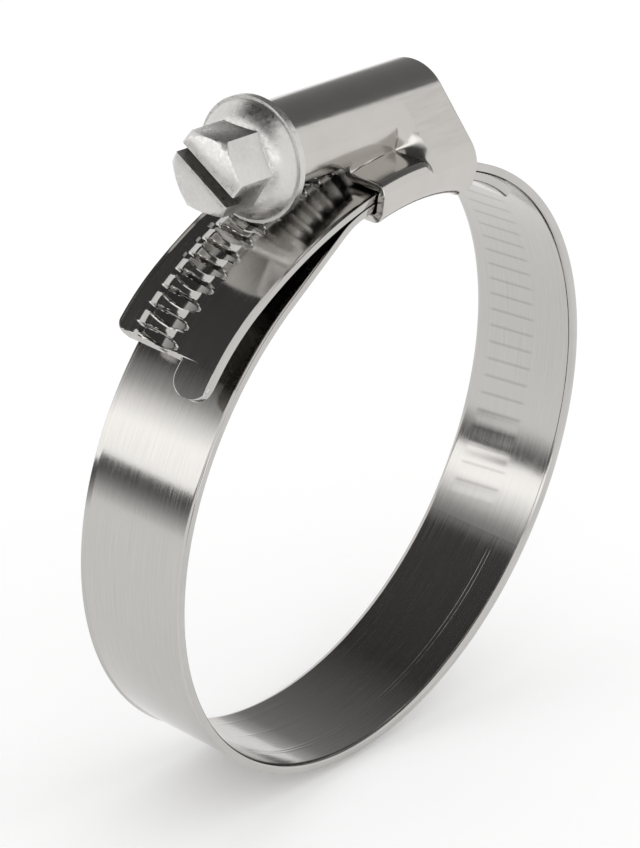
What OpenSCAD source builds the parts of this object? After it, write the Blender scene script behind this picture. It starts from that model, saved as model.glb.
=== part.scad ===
// Worm-drive hose clamp, drawn at an inner diameter of 58.4 mm.
// Y runs along the hose, Z points from the hose's axis to the worm housing,
// and the screw's head looks towards -X. Near side means -Y, far side means +Y.

/* [Band] */
// Inner radius of the closed loop
hose_r = 29.2; // [26:0.1:32]
// Width of the strip
band_w = 12; // [11:0.5:14]
// Thickness of the strip
band_t = 0.8; // [0.6:0.05:1]
// How far each edge of the strip is flared away from the hose
lip_h = 0.2; // [0.1:0.05:0.3]
// Width of each flared edge
lip_w = 0.6; // [0.4:0.1:0.9]
// Direction at which the toothed end begins, from +X towards +Z
split_angle = -32; // [-40:1:-28]
// Gap between the smooth loop and the start of the toothed end
split_gap = 0.1; // [0.05:0.05:0.3]
// Inner radius of the bend where the fixed end dips out of the housing
dip_r = 6; // [4:0.5:9]
// Direction of the dip's bend, seen from the toothed end's centre
dip_angle = 106; // [105:0.5:108]
// How far the fixed end reaches past the housing
end_reach = 7.9; // [5:0.1:9]
// Inner radius of the fixed end's last bend
end_bend_r = 21; // [20:1:26]

/* [Free end] */
// Direction at which the free end leaves its running circle
leave_angle = 103; // [102:0.5:106]
// Inner radius of the free end's long, gentle bend
gentle_r = 41; // [36:1:60]
// Turn of the gentle bend
gentle_turn = 23; // [18:1:24]
// Inner radius of the bend at the tip
tip_r = 19; // [16:1:24]
// Number of tooth spaces from the top of the clamp to the tip
tip_spaces = 15; // [13:1:17]
// Turn from the end of the teeth to the end of the tongue
tongue_turn = 8.5; // [6:0.5:12]
// Width of the plain tongue beside the teeth
tongue_w = 4.2; // [3:0.1:5]
// Rounding of the free end's far corner
corner_r = 1.2; // [0.5:0.1:1.5]
// Rounding of the tongue's two corners
tongue_r = 1.8; // [1:0.1:1.8]

/* [Teeth and worm] */
// Pitch of the worm
pitch = 1.95; // [1.85:0.05:2.1]
// Depth of the pressed tooth spaces below the strip's surface
tooth_depth = 0.68; // [0.5:0.02:0.7]
// Height of the pressed ridges over the strip's surface
ridge_h = 0.18; // [0.1:0.02:0.2]
// Half length of a ridge across the strip
ridge_half = 2.7; // [2.4:0.1:2.8]
// Radius of a tooth space's bottom, seen along the strip
space_r = 4.2; // [3.8:0.1:4.6]
// Half width of a tooth space at its bottom
space_half_w = 0.34; // [0.3:0.02:0.4]
// Slope of a tooth space's sides
space_slope = 47; // [40:1:50]
// Outer radius of the worm's thread
worm_r = 3.25; // [3.1:0.05:3.3]
// Radius of the worm at its root
root_r = 2.5; // [2.4:0.05:2.6]
// Half width of the thread's crest
crest_half_w = 0.2; // [0.15:0.01:0.22]
// Slope of the thread's sides
thread_slope = 28; // [24:1:30]
// Number of whole turns of thread
thread_turns = 7; // [5:1:7]
// How far the worm lies to the far side of the strip's middle
worm_shift = 1.5; // [0.8:0.1:1.8]

/* [Housing] */
// Thickness of the housing's sheet
sheet_t = 0.85; // [0.7:0.05:0.9]
// Left end of the sleeve round the strip
sleeve_left = -7.6; // [-8:0.1:-7]
// Right end of the sleeve and tube
sleeve_right = 6.4; // [5.6:0.1:6.6]
// Left end of the sleeve's floor
floor_left = -8.9; // [-9.2:0.1:-8.2]
// Rounding of the sleeve's lower right corners
heel_r = 3; // [2.4:0.1:3.2]
// How far below the highest point of the floor's underside that rounding ends
heel_drop = 1.23; // [1.1:0.01:1.4]
// Left end of the tube, where the screw's flange bears
tube_left = -16.1; // [-17:0.1:-15.6]
// Outer rounding of the sleeve's folds
fold_r = 1.1; // [1:0.1:1.3]
// Inner rounding of the sleeve's folds
fold_in_r = 0.15; // [0.1:0.05:0.2]
// Outer rounding between the near wall's slope and its foot
near_foot_r = 3.2; // [2.6:0.1:3.6]
// Outer rounding between the far wall's slope and its foot
far_foot_r = 2; // [1.6:0.1:2.6]
// How far below the top of the sleeve's roof both feet's centres lie
foot_drop = 1.24; // [1:0.02:1.5]
// How far below the screw's axis the tube's open edges lie
arch_drop = 1.35; // [0.8:0.05:1.8]
// Left end of the near wall's slope
slope_left = -0.9; // [-1.2:0.1:-0.5]
// Thickness of the pressed stop between the slope and the tube
stop_t = 1.7; // [1.4:0.1:2]
// Depth of the three-sided dimple pressed into the stop
dimple_depth = 1; // [0.7:0.1:1.2]
// Radius of the two buttons that lock the fixed end
button_r = 1.3; // [1:0.1:1.5]
// Distance of each button from the middle of the sleeve
button_x = 3.2; // [2.8:0.1:3.6]

/* [Screw] */
// Width of the hexagon across its flats
hex_af = 7; // [6:0.5:7]
// Length of the hexagon beyond the flange's dome
hex_len = 4.6; // [4:0.1:6]
// Turn of the hexagon about the screw's axis
head_turn = 2; // [0:1:30]
// Radius of the flange
flange_r = 5.8; // [5.5:0.1:6]
// Thickness of the flange's rim
rim_t = 0.7; // [0.5:0.1:1]
// Radius of the flange's rounded dome, seen from the side
dome_r = 2.7; // [2.6:0.05:3]
// Width of the driver slot
slot_w = 1.25; // [1:0.05:1.5]
// Depth of the driver slot
slot_depth = 1.7; // [1.2:0.1:2.2]
// Radius of the plain bearing behind the flange
journal_r = 3.6; // [3.4:0.05:3.8]
// Length of the plain bearing
journal_len = 1.2; // [0.8:0.1:1.4]

/* [Clearances] */
// Between the two layers of strip in the housing
layer_gap = 0.06; // [0.05:0.01:0.1]
// Between the fixed end and the housing's floor
floor_gap = 0.05; // [0.03:0.01:0.08]
// Between the strip and the roof of the sleeve
roof_gap = 0.1; // [0.06:0.01:0.2]
// Between the strip's edges and the sleeve's walls
side_gap = 0.15; // [0.1:0.05:0.3]
// Between the screw's bearing and its tube
bearing_gap = 0.08; // [0.04:0.01:0.1]
// Between the worm's crest and the bottom of a tooth space
tooth_gap = 0.06; // [0.04:0.01:0.1]
// Between the flange and the tube, and between the worm and its stop
end_gap = 0.06; // [0.04:0.01:0.1]
// Round each locking button
button_gap = 0.06; // [0.04:0.01:0.1]

/* [Hidden] */
$fn = 96;

function dir(a) = [cos(a), sin(a)];

// Two stretches of one strip overlap by this length, and every second stretch is
// thinner by this much on each side, so that no two of their faces nearly touch
joining = 0.15;
thinner = 0.01;

// The two layers of strip and the floor under them, stacked in the sleeve
stack_h = layer_gap + band_t + floor_gap + sheet_t;
// The toothed end's circle touches the hose's circle at the split. Its centre is
// shifted until the floor just clears the hose where the heel's rounding begins.
heel_x = sleeve_right - heel_r + 0.2;
heel_angle = 90 - asin(heel_x / hose_r);
floor_margin = 0.06;
shift = stack_h / (1 - cos(heel_angle - split_angle)) + floor_margin;
track = -shift * dir(split_angle);
track_r = hose_r + shift;
// Layers in the sleeve, as radii about the track's centre
fixed_r = track_r - layer_gap - band_t;
floor_r = fixed_r - floor_gap;
roof_r = track_r + band_t + lip_h + roof_gap;
sleeve_out_r = roof_r + sheet_t;
sleeve_in_r = floor_r - sheet_t;
sleeve_half_w = band_w / 2 + side_gap;
wall_half_w = sleeve_half_w + sheet_t;
foot_z = track[1] + sleeve_out_r - foot_drop;
heel_z = track[1] + sleeve_in_r - heel_drop;

// The screw's axis, with the worm's crest in the tooth spaces
tip_to_surface = tooth_depth - tooth_gap;
screw_from_track = track_r + band_t - tip_to_surface + worm_r;
screw_z = track[1] + screw_from_track;
axis = [worm_shift, screw_z];
tube_in_r = journal_r + bearing_gap;
tube_out_r = tube_in_r + sheet_t;
mesh_r = track_r + band_t - tooth_depth / 2;
tooth_angle = pitch / mesh_r * 180 / PI;
lead_angle = atan(pitch / (2 * PI * (worm_r - tooth_depth / 2)));

// Tooth spaces lie at whole steps from the point above the track's centre. Step by
// step they follow the strip's middle: the track, the gentle bend, the tip's bend.
mid_t = band_t / 2;
step_len = tooth_angle * PI / 180 * (track_r + mid_t);
first_space = ceil((split_angle - 90 + 4) / tooth_angle);
track_len = (leave_angle - 90) * PI / 180 * (track_r + mid_t);
gentle_len = gentle_turn * PI / 180 * (gentle_r + mid_t);
tip_angle = leave_angle + gentle_turn;
teeth_len = (tip_spaces + 0.5) * step_len;
teeth_angle = tip_angle + (teeth_len - track_len - gentle_len) / (tip_r + mid_t) * 180 / PI;
tongue_angle = teeth_angle + tongue_turn;
gentle_from = track + (track_r - gentle_r) * dir(leave_angle);
tip_from = gentle_from + (gentle_r - tip_r) * dir(tip_angle);

// The fixed end: past the housing it bends down, left of it it dips to the loop
end_angle = 90 - asin((sleeve_right - track[0]) / fixed_r);
end_turn = end_reach / cos(end_angle - 90) / (end_bend_r + mid_t) * 180 / PI;
end_from = track + (fixed_r - end_bend_r) * dir(end_angle);
dip_from = track + (fixed_r - dip_r) * dir(dip_angle);
dip_end = atan2(dip_from[1], dip_from[0]) + acos((hose_r - dip_r) / norm(dip_from));
dip_len = norm(dip_from) * sin(dip_end - atan2(dip_from[1], dip_from[0]));
loop_end = 360 + split_angle - (split_gap + joining) * 180 / PI / hose_r;

// Screw stations along X
flange_x = tube_left - end_gap;
worm_end = slope_left - end_gap;
thread_half_w = crest_half_w + (worm_r - root_r) * tan(thread_slope);
core_r = root_r - 0.05;
dome_from = [flange_r - 0.1 - dome_r, -dome_r / 3];
dome_h = 1.55;
hex_x = flange_x - rim_t - dome_h - hex_len;

// ---------- placing ----------

// Local x and y become the row's X and Z, and local z points to the near side
module upright() rotate([90, 0, 0]) children();

// Local z becomes the row's X, local x the row's -Z and local y the row's Y
module along_x(x0) translate([x0, 0, 0]) rotate([0, 90, 0]) children();

// Moves children from the screw's own axis to its place in the row
module at_screw() translate([0, worm_shift, screw_z]) children();

// Moves 2D children about the screw's axis, as the section seen along X
module section(x0, x1)
    translate([x0, 0, 0]) rotate([90, 0, 90]) linear_extrude(x1 - x0) children();

// ---------- strip ----------

// Section of the strip: x through its thickness, y across its width. Its edges are
// flared, and where it has teeth their ridges stand on it.
module strip_profile(inset, w_low = -band_w / 2, w_high = band_w / 2, ridge = false) {
    low = inset;
    high = band_t - inset;
    flat_w = band_w / 2 - lip_w;
    intersection() {
        union() {
            polygon([
                [low + lip_h, -band_w / 2], [low, -flat_w], [low, flat_w], [low + lip_h, band_w / 2],
                [high + lip_h, band_w / 2], [high, flat_w], [high, -flat_w], [high + lip_h, -band_w / 2]
            ]);
            if (ridge) translate([0, -worm_shift]) polygon([
                [mid_t, -ridge_half - 0.4], [high, -ridge_half - 0.4], [high + ridge_h, -ridge_half],
                [high + ridge_h, ridge_half], [high, ridge_half + 0.4], [mid_t, ridge_half + 0.4]
            ]);
        }
        translate([-1, w_low]) square([band_t + 2, w_high - w_low]);
    }
}

// Strip round a centre, with its hose side at radius r
module strip_arc(centre, r, a0, a1, inset = 0, w_low = -band_w / 2, w_high = band_w / 2, ridge = false)
    translate(centre) rotate([0, 0, a0])
        rotate_extrude(angle = a1 - a0 + joining / r * 180 / PI, $fn = 180)
            translate([r, 0]) strip_profile(inset, w_low, w_high, ridge);

// Straight strip from a point whose outward normal has the direction a
module strip_line(from, a, len, inset = 0)
    translate(from) rotate([0, 0, a]) rotate([-90, 0, 0])
        linear_extrude(len + joining) strip_profile(inset);

// Disc with sloped sides, whose rim is a tooth space's bottom
module tooth_space() {
    side = 1.3;
    half_w = space_half_w + side * tan(space_slope);
    translate([0, 0, -worm_shift]) rotate([0, -lead_angle, 0]) rotate([0, 90, 0])
        rotate_extrude($fn = 72) polygon([
            [0, -half_w], [space_r - side, -half_w],
            [space_r, -space_half_w], [space_r, space_half_w],
            [space_r - side, half_w], [0, half_w]
        ]);
}

// Tooth space at a whole number of steps from the top of the track
module place_space(step) {
    over = band_t - tooth_depth + space_r;
    along = step * step_len;
    if (along < track_len)
        translate(track) rotate([0, 0, step * tooth_angle])
            translate([0, track_r + over, 0]) tooth_space();
    else if (along < track_len + gentle_len)
        translate(gentle_from)
            rotate([0, 0, leave_angle - 90 + (along - track_len) / (gentle_r + mid_t) * 180 / PI])
                translate([0, gentle_r + over, 0]) tooth_space();
    else
        translate(tip_from)
            rotate([0, 0, teeth_angle - 90 - (teeth_len - along) / (tip_r + mid_t) * 180 / PI])
                translate([0, tip_r + over, 0]) tooth_space();
}

// What rounding takes off a corner of the free end. The corner lies at the angle a of
// the tip's bend, at the height w across the strip, and the strip lies on its side s.
// The rounding's middle lies a little past its radius, so that it crosses both edges.
module corner_waste(a, w, s, r) {
    middle = r - 0.03;
    translate(tip_from) rotate([0, 0, a]) translate([tip_r - 1, 0, w])
        scale([1, 1, s]) difference() {
            translate([0, -r, -1]) cube([band_t + 3, r + 1, r + 1]);
            translate([-1, -middle, middle]) rotate([0, 90, 0]) cylinder(r = r, h = band_t + 5);
        }
}

// Places of the two buttons, with Z pointing away from the hose
module at_buttons()
    for (x = [-button_x, button_x])
        translate([(sleeve_left + sleeve_right) / 2 + x, 0, track[1]]) children();

module band()
    color([0.78, 0.78, 0.76])
    difference() {
        upright() {
            strip_arc(end_from, end_bend_r, end_angle - end_turn, end_angle);
            strip_arc(track, fixed_r, end_angle, dip_angle, thinner);
            strip_arc(dip_from, dip_r, dip_angle, dip_end);
            strip_line(hose_r * dir(dip_end) - dip_len * dir(dip_end + 90), dip_end, dip_len, thinner);
            strip_arc([0, 0], hose_r, dip_end, loop_end);
        }
        at_buttons() cylinder(r = button_r + button_gap, h = track_r + 5);
    }

module band_tail()
    color([0.74, 0.74, 0.72])
    upright() difference() {
        teeth_from = 90 + (first_space - 0.7) * tooth_angle;
        joining_turn = joining / tip_r * 180 / PI;
        union() {
            strip_arc(track, track_r, split_angle, teeth_from, thinner);
            strip_arc(track, track_r, teeth_from, leave_angle, ridge = true);
            strip_arc(gentle_from, gentle_r, leave_angle, tip_angle, thinner, ridge = true);
            strip_arc(tip_from, tip_r, tip_angle, teeth_angle, ridge = true);
            strip_arc(tip_from, tip_r, teeth_angle, tongue_angle, thinner,
                band_w / 2 - tongue_w, band_w / 2 + 1);
        }
        for (step = [first_space : tip_spaces]) place_space(step);
        corner_waste(teeth_angle + joining_turn, -band_w / 2, 1, corner_r);
        corner_waste(tongue_angle + joining_turn, band_w / 2 - tongue_w, 1, tongue_r);
        corner_waste(tongue_angle + joining_turn, band_w / 2, -1, tongue_r);
    }

// ---------- housing ----------

// Rectangle with rounded corners, from two squares and four circles
module rounded(x0, x1, y0, y1, r) {
    translate([x0 + r, y0]) square([x1 - x0 - 2 * r, y1 - y0]);
    translate([x0, y0 + r]) square([x1 - x0, y1 - y0 - 2 * r]);
    for (x = [x0 + r, x1 - r], y = [y0 + r, y1 - r]) translate([x, y]) circle(r = r, $fn = 48);
}

// Section of one wall, inset from the outside: a slope that touches the tube's circle
// and the foot's circle. The near wall has s = -1 and the far wall s = 1. Below the foot
// it is thinner than the sleeve's wall, in which it ends.
module wall_section(s, foot_r, inset) {
    tube_r = tube_out_r - inset;
    round_r = foot_r - inset - thinner;
    foot = [s * (wall_half_w - foot_r), foot_z];
    reach = foot - axis;
    n = atan2(reach[1], reach[0]) + s * acos((tube_r - round_r) / norm(reach));
    polygon([axis, axis + (tube_r - thinner / 2) * dir(n), foot + (round_r - thinner / 2) * dir(n), foot]);
    // The foot's circle, without its lower part
    translate(foot) intersection() {
        circle(r = round_r, $fn = 64);
        translate([-foot_r - 1, -1]) square([2 * foot_r + 2, foot_r + 2]);
    }
    side = s * (wall_half_w - inset - thinner);
    polygon([axis, foot, [side, foot_z], [side, track[1] + fixed_r], [0, track[1] + fixed_r]]);
}

// Tube round the screw, open below to the left of the sleeve
module tube()
    difference() {
        translate([tube_left, axis[0], axis[1]]) rotate([0, 90, 0])
            cylinder(r = tube_out_r, h = sleeve_right - tube_left);
        translate([tube_left - 1, -20, 0])
            cube([sleeve_left - tube_left + 1, 40, screw_z - arch_drop]);
    }

// Ring round the two layers of strip: floor, two walls and roof
module sleeve_ring(r0, r1, half_w, round_r, x0, x1)
    intersection() {
        upright() translate(track) rotate([0, 0, 60]) rotate_extrude(angle = 60, $fn = 180)
            rounded(r0, r1, -half_w, half_w, round_r);
        translate([x0, -20, 0]) cube([x1 - x0, 40, 60]);
    }

// The floor's tongue, with its corners cut off, to the left of the sleeve
module floor_tongue()
    intersection() {
        upright() translate(track) rotate([0, 0, 60]) rotate_extrude(angle = 60, $fn = 180)
            translate([sleeve_in_r, -band_w / 2]) square([sheet_t, band_w]);
        linear_extrude(60) polygon([
            [sleeve_left + 1, -band_w / 2], [sleeve_left, -band_w / 2],
            [floor_left, -band_w / 2 + sleeve_left - floor_left],
            [floor_left, band_w / 2 - sleeve_left + floor_left],
            [sleeve_left, band_w / 2], [sleeve_left + 1, band_w / 2]
        ]);
    }

// What rounding takes off the sleeve's lower right corners
module heel_waste()
    translate([sleeve_right, 0, heel_z]) difference() {
        translate([-heel_r, -20, -2]) cube([heel_r + 1, 40, heel_r + 2]);
        translate([-heel_r, -21, heel_r]) rotate([-90, 0, 0]) cylinder(r = heel_r, h = 42);
    }

// Three-sided dimple pressed from outside into the stop
module dimple() {
    y = axis[0] - tube_out_r;
    polyhedron(
        [[slope_left + dimple_depth, y, screw_z + 0.2], [slope_left - 0.6, y - 0.2, screw_z + 2.4],
            [slope_left - 0.6, y - 0.9, screw_z - 1.6], [slope_left + 0.9, y - 3.2, screw_z - 1]],
        [[0, 1, 2], [0, 2, 3], [0, 3, 1], [1, 3, 2]]
    );
}

// The stop's end that reaches behind the worm
module stop()
    intersection() {
        translate([slope_left, axis[0] - tube_out_r, screw_z - 1.5])
            cube([stop_t, tube_out_r - 2.3, 3]);
        translate([slope_left - 1, axis[0], axis[1]]) rotate([0, 90, 0])
            cylinder(r = tube_in_r + 0.3, h = 4);
    }

module housing()
    color([0.8, 0.79, 0.77]) {
        difference() {
            union() {
                sleeve_ring(sleeve_in_r, sleeve_out_r, wall_half_w, fold_r, sleeve_left, sleeve_right);
                floor_tongue();
                section(slope_left, sleeve_right) wall_section(-1, near_foot_r, 0);
                section(sleeve_left, sleeve_right) wall_section(1, far_foot_r, 0);
                tube();
            }
            // The worm's bore, and the room beside it
            translate([tube_left - 1, axis[0], axis[1]]) rotate([0, 90, 0])
                cylinder(r = tube_in_r, h = sleeve_right - tube_left + 2);
            section(slope_left + stop_t, sleeve_right + 1) wall_section(-1, near_foot_r, sheet_t);
            section(sleeve_left - 1, sleeve_right + 1) wall_section(1, far_foot_r, sheet_t);
            // The strip's way through
            sleeve_ring(floor_r, roof_r, sleeve_half_w, fold_in_r, sleeve_left - 2, sleeve_right + 1);
            heel_waste();
            dimple();
            // Seam where the two folded lips of the floor meet
            translate([floor_left - 1, 0.6, 0]) cube([sleeve_right - floor_left + 2, 0.15, floor_r]);
        }
        stop();
        // Buttons, from inside the floor to just under the outer layer
        intersection() {
            at_buttons() cylinder(r = button_r, h = track_r + 5);
            upright() translate(track) rotate([0, 0, 60]) rotate_extrude(angle = 60, $fn = 180)
                translate([sleeve_in_r + 0.3, -2]) square([fixed_r + band_t - sleeve_in_r - 0.45, 4]);
        }
    }

// ---------- screw ----------

// One strand of points per step along the helix, four across the thread.
// Right-hand thread about +X. Below the axis its crests lie at whole pitches from the
// track's centre, and the thread runs out three quarters of a turn past the last one.
module worm() {
    n = 24;
    steps = n * thread_turns;
    prof = [[-thread_half_w, root_r], [-crest_half_w, worm_r], [crest_half_w, worm_r],
        [thread_half_w, root_r]];
    run_out = 0.75 * pitch + thread_half_w;
    last_crest = track[0] - pitch * ceil((track[0] + run_out - worm_end) / pitch);
    x0 = last_crest - pitch * (thread_turns - 0.75);
    function at(q, c) = [
        x0 + pitch * q / n + prof[c][0],
        prof[c][1] * cos(360 * q / n + 180),
        prof[c][1] * sin(360 * q / n + 180)
    ];
    pts = concat(
        [for (q = [0 : steps], c = [0 : 3]) at(q, c)],
        [[x0 + pitch / 2, 0, 0], [x0 + pitch * (thread_turns - 0.5), 0, 0]]
    );
    function v(q, c) = 4 * q + c;
    a0 = 4 * (steps + 1);
    a1 = a0 + 1;
    start_loop = concat([for (q = [0 : n]) v(q, 0)], [v(0, 3), v(0, 2), v(0, 1)]);
    end_loop = concat([for (q = [steps - n : steps]) v(q, 3)],
        [v(steps, 2), v(steps, 1), v(steps, 0)]);
    faces = concat(
        [for (q = [0 : steps - 1], c = [0 : 2]) each [
            [v(q, c), v(q, c + 1), v(q + 1, c)],
            [v(q + 1, c), v(q, c + 1), v(q + 1, c + 1)]]],
        [for (q = [0 : steps - n - 1]) each [
            [v(q, 3), v(q + n, 0), v(q + 1, 3)],
            [v(q + 1, 3), v(q + n, 0), v(q + n + 1, 0)]]],
        [for (k = [0 : len(start_loop) - 1])
            [a0, start_loop[k], start_loop[(k + 1) % len(start_loop)]]],
        [for (k = [0 : len(end_loop) - 1])
            [a1, end_loop[(k + 1) % len(end_loop)], end_loop[k]]]
    );
    polyhedron(pts, faces);
}

// Flange's dome, from a circle turned about the screw's axis
module dome()
    along_x(flange_x - rim_t) rotate([180, 0, 0]) rotate_extrude() intersection() {
        translate(dome_from) circle(r = dome_r);
        square([flange_r - 0.3, dome_h + 0.5]);
    }

module screw()
    color([0.84, 0.84, 0.82])
    at_screw() {
        hex_r = hex_af / 2 / cos(30);
        depth = hex_len + dome_h + 0.3;
        // Core and plain bearing
        along_x(flange_x) cylinder(r = core_r, h = worm_end - flange_x);
        along_x(flange_x) cylinder(r = journal_r, h = journal_len);
        worm();
        // Flange: rim and dome
        along_x(flange_x - rim_t) cylinder(r = flange_r, h = rim_t);
        along_x(flange_x - rim_t - dome_h) cylinder(r = flange_r - 2.6, h = dome_h + 0.1);
        dome();
        // Hexagon with a turned chamfer and a driver slot
        difference() {
            intersection() {
                along_x(hex_x) rotate([0, 0, 30 - head_turn]) cylinder(r = hex_r, h = depth, $fn = 6);
                along_x(hex_x)
                    cylinder(r1 = hex_af / 2 - 0.1, r2 = hex_af / 2 - 0.1 + depth * 1.6, h = depth);
            }
            translate([hex_x, 0, 0]) rotate([-60 - head_turn, 0, 0])
                translate([-1, -slot_w / 2, -hex_af]) cube([slot_depth + 1, slot_w, 2 * hex_af]);
        }
    }

housing();
band();
band_tail();
screw();
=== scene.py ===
import math

import bmesh
import bpy
import numpy as np
from mathutils import Matrix, Vector


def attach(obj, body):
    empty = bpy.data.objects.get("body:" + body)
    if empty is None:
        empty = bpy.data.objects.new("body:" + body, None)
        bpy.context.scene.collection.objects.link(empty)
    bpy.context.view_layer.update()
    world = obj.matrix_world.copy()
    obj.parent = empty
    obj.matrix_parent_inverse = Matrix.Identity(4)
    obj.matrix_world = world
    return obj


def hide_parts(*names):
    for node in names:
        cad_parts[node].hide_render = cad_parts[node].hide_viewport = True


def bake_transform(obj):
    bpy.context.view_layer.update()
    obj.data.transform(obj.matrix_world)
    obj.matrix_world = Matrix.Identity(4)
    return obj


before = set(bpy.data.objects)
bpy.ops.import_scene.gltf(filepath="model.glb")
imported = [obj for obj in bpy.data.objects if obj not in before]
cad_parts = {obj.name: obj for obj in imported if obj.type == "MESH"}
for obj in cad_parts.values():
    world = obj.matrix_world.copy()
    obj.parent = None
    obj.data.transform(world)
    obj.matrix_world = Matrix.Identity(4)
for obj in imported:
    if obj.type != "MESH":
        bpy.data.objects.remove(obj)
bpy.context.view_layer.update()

# Sizes are in millimetres and angles in degrees, in the part's own frame.
MM = 0.001
TAU = 2 * math.pi

# Strip
STRIP_W = 12.0
STRIP_T = 0.8
LIP_H = 0.2
LIP_W = 0.42
LIP_SOFT = 0.1  # rounded foot of the flared edge, as a share of its width
SHEAR_R = 0.12  # rounding of the sheared edges
HOSE_R = 29.2

# Points across the strip: on a flared edge, and the gap beside its foot
LIP_POINTS = 6
FOOT_GAP = 0.14

# Running circle of the toothed end, and the circle of the layer under it
TRACK = np.array([-1.10101, 0.687985])
TRACK_R = 30.4983
FIXED_R = 29.6383
SPLIT = -32.0

# Free end
LEAVE = 103.0
GENTLE_R = 41.0
GENTLE_TURN = 23.0
TIP_R = 19.0
TONGUE_TURN = 8.5
TONGUE_BEND_R = 70.0
TONGUE_W = 4.2
TONGUE_R = 1.8
TONGUE_CUT = 0.02  # what the tongue's rounding lacks at its tip, so it ends in no point
TONGUE_FLAT = (0.6, 0.2)  # insets of its flat part from the flared and the inner edge
TONGUE_FADE = 0.05
CORNER_R = 1.2

# Fixed end
END_REACH = 7.9
END_BEND_R = 21.0
DIP_R = 6.0
DIP_FROM = 106.0
DIP_TO = 127.566
SEAM_AT = 140.0
LINE_R = 4000.0  # radius that stands for a straight line

# Loop: lines rolled along its hose side as (place across, depth), and how they fade in and
# out
LINE_HALF = 0.05
ROLLED_LINES = ((4.0, 0.01), (1.1, 0.01), (-2.75, 0.02), (-3.15, 0.02))
LINE_FADE_IN = 6.0
LINE_FADE_OUT = 2.0

# Teeth: spaces are counted from the top of the running circle
TOOTH_ANGLE = 3.60895
FIRST_SPACE = -32
TIP_SPACES = 15
LEAD_ANGLE = 6.1
WORM_Y = 1.5
START_SHARE = 0.7  # share of a pitch by which the teeth start before the first space
START_FADE = 0.4

# Space between two ridges: bottom, mouth, sides and rim
TOOTH_DEPTH = 0.68
SPACE_R = 4.2
SPACE_W = 0.64
SPACE_REACH = 2.5
SPACE_SLOPE = 20.0
SIDE_FOOT = 0.2  # how far inside the mouth a side starts to rise
SIDE_SOFT = 0.06
RIM_H = 0.07
RIM_AT = 0.02
RIM_W = 0.075
RIM_FADE = 0.4

# Ridge: a bar with falling facets, a crest sunk in its middle, and the gap between bars
RIDGE_HALF = 2.7
RIDGE_FADE = 0.15
BAR_FROM = 0.28
BAR_SIDE = 0.12
FACET_H = 0.34
FACET_FROM = 1.5
FAR_FALL = 0.34
NEAR_FALL = 0.5
GAP_DROP = 0.1
CREST_R = 3.7
CREST_SOFT = 0.05
END_SLANT = 0.36
END_FALL = 1.7

# Traces of the teeth: where they show, marks on the hose side, and painted shade in the
# spaces and below the bulges as values from 0 to 1
ZONE_HALF = 2.65
ZONE_SOFT = 0.1
MARK_DEPTH = 0.01
SHADE_IN = 0.08
SHADE_SOFT = 0.1
SHADE_DARK = 0.3
NEAR_DARK = 0.5
NEAR_FADE = 1.5
BULGE_AT = 0.6
BULGE_HALF = 0.08
BULGE_DARK = 0.55

# Rows of points on the toothed end: how they lean with the teeth, and where they lie
# beside the middle of each space
LEAN_HALF = 2.85
LEAN_EDGE = 5.6
LEAN_EDGE_FADE = 1.2
LEAN_END_FADE = 0.9
ROW_FROM = 0.06
ROW_TO = 0.84
PLAIN_GAP = 0.1
LEAST_GAP = 0.02

# Places of points across the toothed end: on the teeth, and on the plain strip beside
PLACES_HALF = 2.58
PLAIN_NEAR = (-3.7, -1.75)
PLAIN_FAR = (4.85,)

# Housing
SHEET_T = 0.85
SLEEVE_LEFT = -7.6
SLEEVE_RIGHT = 6.4
TUBE_LEFT = -16.1
TUBE_R = 4.53
SCREW_Z = 34.6163
WALL_HALF = 7.0
FOLD_R = 1.1
FLOOR_R = 28.7383
ROOF_R = 32.4483
NEAR_FOOT_R = 3.6
NEAR_FOOT_Z = 30.9
FAR_FOOT_R = 2.0
FAR_FOOT_Z = 31.9
ARCH_DROP = 1.35
HEEL_R = 3.0
HEEL_Z = 28.2
PINCH_FROM = -1.1
PINCH_TO = 0.1
CREASE_AT = 200.0
CREASE_R = 0.3
CREASE_GAP = 0.35
SHARED_AT = 124.0  # angle on the tube from which both sides of the pinch are the same
SEAM_Y = 0.675
SEAM_HALF = 0.06
EDGE_R = 0.14
EDGE_TURNS = (90, 60, 30, 0)
SHARED_EDGE = 0.2  # distance from the tube over which the sleeve's edge gets its rounding
SHEET_INSIDE = np.array([0, 0, SCREW_Z - 2])

# Driver slot of the screw, and how near to its bottom and sides a point is marked for painted
# shade
SLOT_BOTTOM = -21.31
SLOT_HALF = 0.625
SLOT_TURN = 62.0
SLOT_DEPTH_NEAR = 0.02
SLOT_SIDE_NEAR = 0.05

# Meshes: sharpest turns that are shaded smooth, and the screw's bevel
SHEET_SHARP = 38.0
SCREW_SHARP = 32.0
SCREW_FLAT = 1.2
SCREW_BEVEL = 0.16
SAME_POINT = 0.0002
UV_SCALE = 0.1

# Finishes: colours, the noise scales of the plating, and the noise values between which
# roughness and tone vary
STRIP_COLOUR = (0.52, 0.505, 0.485)
# Painted shade in the bottoms of the tooth spaces and below the bulges
SHADE_COLOUR = (0.09, 0.085, 0.08, 1)
SHEET_COLOUR = (0.56, 0.54, 0.515)
SCREW_COLOUR = (0.64, 0.63, 0.61)
# Painted shade at the bottom of the driver slot
SLOT_SHADE_COLOUR = (0.26, 0.25, 0.24, 1)
PIT_SCALE = 2600.0
CLOUD_SCALE = 260.0
ROUGH_SPAN = (0.35, 0.65)
TONE_SPAN = (0.3, 0.7)

# Stage: glow that a ramp's full value stands for, radius of the walls, and the floor
GLOW_TOP = 2.0
DRUM_R = 500.0
FLOOR_Z = -30.9
FLOOR_HALF = 3000.0
FLOOR_GLOW = 0.16
FLOOR_TONE = 0.86

# Camera: focal length and height of the picture in pixels, loop radius that its place
# is given in, and where the housing sits round the loop
FOCAL_PX = 3350.3
IMAGE_H = 848
UNIT = 30.3
TURN = 287.2


# ---------- curves ----------

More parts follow.
